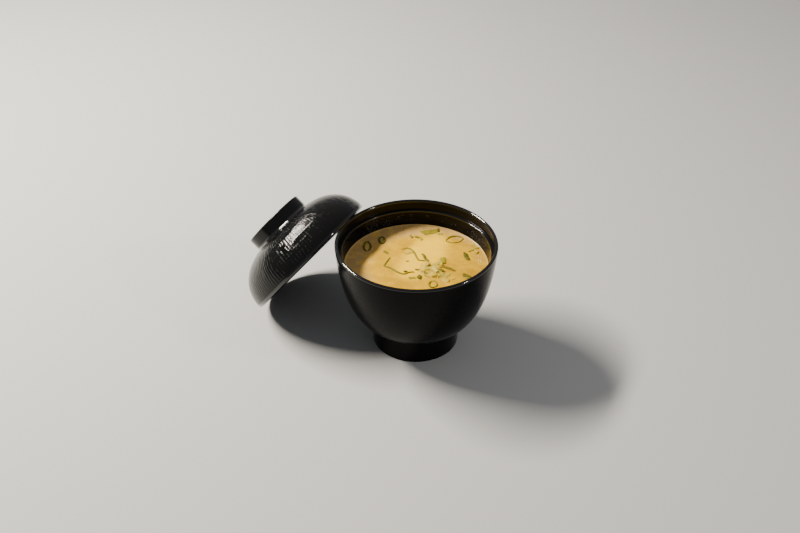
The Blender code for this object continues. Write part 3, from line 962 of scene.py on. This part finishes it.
# %% A pale half ring
def pale_slice(name, x, y, radius, span, turn, wall, tall, rise, tilt, seed):
    start_clean()
    bpy.ops.mesh.primitive_plane_add(size=MM, rotation=(math.pi / 2, 0, 0), location=(0, 0, 0))
    piece = bpy.context.object
    piece.name = name
    keep_place(piece)
    bpy.ops.object.mode_set(mode="EDIT")
    bpy.ops.mesh.select_all(action="SELECT")
    bpy.ops.transform.resize(value=(wall, 1.0, tall), center_override=(0, 0, 0))
    bpy.ops.transform.translate(value=(radius * MM, 0, 0))
    bpy.ops.mesh.spin(steps=max(8, round(span / 7)), angle=math.radians(span), center=(0, 0, 0), axis=(0, 0, 1))
    bpy.ops.mesh.select_all(action="SELECT")
    bpy.ops.mesh.remove_doubles(threshold=0.001 * MM)
    bpy.ops.mesh.normals_make_consistent(inside=False)
    bpy.ops.object.mode_set(mode="OBJECT")
    middle = math.radians(span / 2)
    for vert in piece.data.vertices:
        vert.co.x -= radius * MM * math.cos(middle)
        vert.co.y -= radius * MM * math.sin(middle)
    make_uneven(piece, 0.45 * MM, 3.0 * MM, seed)
    edge = piece.modifiers.new("soft edge", "BEVEL")
    edge.width = 0.3 * wall * MM
    edge.segments = 2
    edge.limit_method = "ANGLE"
    apply_all(piece)
    give_tone(piece, 0.1, 0.0, seed)
    set_down(piece, x, y, turn, rise, tilt)
    smooth(piece, 50)
    return piece


SLICES = (
    # x, y, radius, span, turn, wall, tall, rise, lean x, lean y
    (6.0, 1.5, 3.6, 190, 40, 0.8, 1.3, 0.2, 8, -6),
    (9.5, 4.6, 3.2, 200, 100, 0.8, 1.2, 0.4, -10, 8),
    (12.6, 0.6, 4.2, 170, 200, 0.9, 1.4, 0.6, 10, 8),
    (14.2, -3.2, 3.4, 210, 300, 0.8, 1.3, 0.5, -8, 12),
    (10.2, -3.8, 3.8, 180, 10, 0.8, 1.2, 0.4, 12, -6),
    (17.6, 2.4, 3.0, 190, 250, 0.8, 1.2, 0.4, 8, 10),
    (16.2, -7.2, 3.2, 180, 150, 0.7, 1.1, 0.2, -8, -8),
    (6.8, -2.6, 2.8, 200, 80, 0.7, 1.1, 0.2, 8, 8),
    (13.4, 6.8, 2.6, 180, 330, 0.7, 1.1, 0.2, -6, -8),
    (22.4, -3.4, 3.6, 170, 120, 0.8, 1.2, 0.0, 5, 5),
    (24.2, -5.6, 2.8, 190, 280, 0.7, 1.1, 0.0, -5, 6),
)
slices = [
    pale_slice("slice", x, y, radius, span, turn, wall, 0.8 * tall, 0.7 * rise, (0.6 * lean_x, 0.6 * lean_y), 30 + index)
    for index, (x, y, radius, span, turn, wall, tall, rise, lean_x, lean_y) in enumerate(SLICES)
]
FLAKES = (
    # x, y, length, width, turn, rise, lean x, lean y
    (13.2, 0.2, 6.5, 4.8, 60, 1.0, 8, -9),
    (8.6, -0.4, 6.0, 4.4, 10, 0.7, -7, 6),
    (15.4, -4.8, 6.2, 4.6, 120, 0.6, 7, 8),
    (6.2, 3.4, 5.2, 4.0, 150, 0.4, -6, -4),
    (11.6, 5.0, 5.6, 4.0, 80, 0.5, 9, 3),
    (22.6, -2.2, 6.4, 4.6, 70, 0.02, 3, 3),
    (24.4, -6.4, 5.8, 4.4, 160, 0.02, -3, 4),
    (-10.4, 9.6, 5.8, 4.0, 60, 0.0, 0, 0),
)
slices += [
    cut_piece("slice", x, y, length, width, turn, ((35, 0.42 * length), (215, 0.4 * length)), 0.5, 0.6, 0.08,
              rise, 50 + index, (lean_x, lean_y))
    for index, (x, y, length, width, turn, rise, lean_x, lean_y) in enumerate(FLAKES)
]
slices.append(cut_piece("slice", 14.4, -2.2, 4.4, 2.6, -25, ((30, 2.0), (210, 1.9)), 0.5, 0.15, 0.08, 1.9, 70, (36, 0)))
pale_slices = join("onion_pale_slices", slices)
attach(pale_slices, "root")
print("pale slices", len(slices), "with", len(pale_slices.data.polygons), "faces")

# %% The mound under them
start_clean()
bpy.ops.mesh.primitive_uv_sphere_add(segments=48, ring_count=20, radius=MM)
mound = bpy.context.object
mound.name = "onion_mound"
bpy.ops.object.mode_set(mode="EDIT")
bpy.ops.mesh.select_all(action="SELECT")
bpy.ops.transform.resize(value=(9.4, 8.0, 1.35), center_override=(0, 0, 0))
bpy.ops.object.mode_set(mode="OBJECT")
for vert in mound.data.vertices:
    round_it = math.atan2(vert.co.y, vert.co.x)
    vert.co.x *= 1.0 + 0.16 * math.sin(2 * round_it + 0.7) + 0.09 * math.sin(5 * round_it)
    vert.co.y *= 1.0 + 0.12 * math.cos(3 * round_it)
make_uneven(mound, 0.5 * MM, 2.6 * MM, 9)
give_tone(mound, 0.04, 0.0, 9)
set_down(mound, 12.4, -1.6, -20, -0.45)
smooth(mound, 60)
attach(mound, "root")
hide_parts("leek_heap")

# %% [markdown]
# ## Wet beads
#
# Steam leaves small beads on the wall above the soup, and a few bubbles cling where the broth
# meets the wall. Both are low domes with few faces, one dome modelled and copied.

# %% A dome, copied along the wall and on the soup
def scatter_domes(name, places, make_flat):
    """Places are (point, outward direction, radius). Each dome is a squashed sphere of few faces."""
    start_clean()
    bpy.ops.mesh.primitive_ico_sphere_add(subdivisions=2, radius=1.0)
    first = bpy.context.object
    domes = []
    for point, out, radius in places:
        dome = first.copy()
        dome.data = first.data.copy()
        bpy.context.collection.objects.link(dome)
        turn = out.to_track_quat("Z", "Y").to_matrix().to_4x4()
        dome.matrix_world = Matrix.Translation(point) @ turn @ Matrix.Diagonal((radius, radius, make_flat * radius, 1.0))
        keep_place(dome)
        domes.append(dome)
    start_clean()
    first.select_set(True)
    bpy.ops.object.delete()
    piece = join(name, domes)
    smooth(piece, 80)
    return piece


dice = random.Random(7)
WALL_BEADS = ((136, 162, 60.5, 67.5, 90), (118, 138, 62.0, 67.0, 14), (24, 66, 60.3, 66.5, 110), (160, 300, 61, 67, 50),
              (66, 118, 62, 67, 8), (300, 384, 61, 67, 22))
places = []
for first_turn, last_turn, low, high, count in WALL_BEADS:
    for _ in range(count):
        turn = math.radians(dice.uniform(first_turn, last_turn))
        point = body_curve(place_at(dice.uniform(low, high) * MM), BOWL_WALL)
        spoke = Vector((math.cos(turn), math.sin(turn), 0.0))
        centre = AXIS + spoke * point.x + Vector((0.0, 0.0, point.y))
        places.append((centre, -spoke, dice.uniform(0.12, 0.34) * MM))
wall_beads = scatter_domes("wall_beads", places, 0.45)
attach(wall_beads, "root")

places = []
for first_turn, last_turn, near, far, count in ((-60, -8, 38, 44.6, 26), (8, 60, 42, 45.2, 10), (100, 170, 43, 45.2, 10)):
    for _ in range(count):
        turn = dice.uniform(first_turn, last_turn)
        reach = dice.uniform(near, far)
        spot = on_soup(reach * math.cos(math.radians(turn)), reach * math.sin(math.radians(turn)), 0.0)
        places.append((spot, Vector((0, 0, 1)), dice.uniform(0.18, 0.42) * MM))
bubbles = scatter_domes("broth_bubbles", places, 0.7)
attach(bubbles, "root")
print("beads", len(wall_beads.data.polygons), "faces, bubbles", len(bubbles.data.polygons))

# %% [markdown]
# ## Onion finishes
#
# Onion green runs from a pale shank to a dark leaf. One ramp, read at each point's tone, colours
# every piece; fine veins and a wet coat finish it. The pale slices are translucent, so they take
# the broth's colour and show whiter edges.

# %% Green onion
def tone_ramp(tree, value, stops):
    ramp = add_node(tree, "ShaderNodeValToRGB")
    tree.links.new(value, ramp.inputs["Fac"])
    elements = ramp.color_ramp.elements
    elements[0].position, elements[0].color = stops[0][0], (*stops[0][1], 1.0)
    elements[1].position, elements[1].color = stops[-1][0], (*stops[-1][1], 1.0)
    for position, colour in stops[1:-1]:
        elements.new(position).color = (*colour, 1.0)
    return ramp.outputs["Color"]


def make_onion(name, stops, vein_share, coat, scatter):
    skin = bpy.data.materials.new(name)
    skin.use_nodes = True
    tree = skin.node_tree
    shader = tree.nodes["Principled BSDF"]
    shader.inputs["IOR"].default_value = 1.4
    shader.inputs["Specular IOR Level"].default_value = 0.15
    shader.inputs["Coat Weight"].default_value = coat
    shader.inputs["Coat Roughness"].default_value = 0.08
    shader.inputs["Subsurface Weight"].default_value = scatter
    shader.inputs["Subsurface Radius"].default_value = (0.9, 0.8, 0.25)
    shader.inputs["Subsurface Scale"].default_value = 0.8 * MM
    place = add_node(tree, "ShaderNodeTexCoord").outputs["Object"]
    tone = add_node(tree, "ShaderNodeAttribute", attribute_name="tone").outputs["Fac"]
    blotch = math_node(tree, "MULTIPLY", math_node(tree, "SUBTRACT", noise_node(tree, place, 700.0, 3.0), 0.5), 0.35)
    colour = tone_ramp(tree, math_node(tree, "ADD", tone, blotch), stops)
    stretched = add_node(tree, "ShaderNodeMapping")
    stretched.inputs["Rotation"].default_value = (0.0, 0.0, 0.6)
    stretched.inputs["Scale"].default_value = (0.25, 1.6, 1.0)
    tree.links.new(place, stretched.inputs["Vector"])
    veins = range_node(tree, noise_node(tree, stretched.outputs[0], 2300.0, 1.0), 0.42, 0.62)
    lighter = mix_colour(tree, math_node(tree, "MULTIPLY", veins, vein_share), colour, stops[0][1])
    tree.links.new(lighter, shader.inputs["Base Color"])
    rough = range_node(tree, veins, 0.0, 1.0, 0.48, 0.36)
    tree.links.new(rough, shader.inputs["Roughness"])
    bump = add_node(tree, "ShaderNodeBump")
    bump.inputs["Strength"].default_value = 0.7
    bump.inputs["Distance"].default_value = 0.08 * MM
    tree.links.new(veins, bump.inputs["Height"])
    tree.links.new(bump.outputs["Normal"], shader.inputs["Normal"])
    return skin


green_skin = make_onion("onion_green_skin", (
    (0.0, (0.60, 0.43, 0.05)), (0.35, (0.30, 0.232, 0.012)), (0.65, (0.145, 0.117, 0.009)), (1.0, (0.066, 0.064, 0.006)),
), 0.10, 0.03, 0.15)
pale_skin = make_onion("onion_pale_skin", (
    (0.0, (0.62, 0.45, 0.04)), (0.2, (0.72, 0.54, 0.075)), (1.0, (0.42, 0.34, 0.03)),
), 0.3, 0.25, 0.2)
pale_skin.node_tree.nodes["Principled BSDF"].inputs["Alpha"].default_value = 0.50
for piece in rings + [leaf_right, leaf_back, green_bits, onion_strands]:
    piece.data.materials.clear()
    piece.data.materials.append(green_skin)
for piece in (pale_slices, mound):
    piece.data.materials.clear()
    piece.data.materials.append(pale_skin)


# %% Water beads
def make_bead(name, tint, inside):
    bead = bpy.data.materials.new(name)
    bead.use_nodes = True
    tree = bead.node_tree
    shader = tree.nodes["Principled BSDF"]
    shader.inputs["IOR"].default_value = 1.33
    shader.inputs["Coat Weight"].default_value = 0.6
    shader.inputs["Coat Roughness"].default_value = 0.03
    place = add_node(tree, "ShaderNodeTexCoord").outputs["Object"]
    cloud = range_node(tree, noise_node(tree, place, 900.0, 2.0), 0.35, 0.65)
    tree.links.new(mix_colour(tree, cloud, tint, inside), shader.inputs["Base Color"])
    tree.links.new(range_node(tree, cloud, 0.0, 1.0, 0.05, 0.12), shader.inputs["Roughness"])
    return bead


wall_beads.data.materials.clear()
# Painted glints: the wall beads get a grey colour, lighter in patches, where water on black lacquer would show only the
# lacquer and small glints.
wall_beads.data.materials.append(make_bead("steam_beads_painted_glint", (0.03, 0.028, 0.026), (0.10, 0.092, 0.080)))
bubbles.data.materials.clear()
bubbles.data.materials.append(make_bead("bubble_skin", (0.72, 0.52, 0.22), (0.80, 0.62, 0.32)))
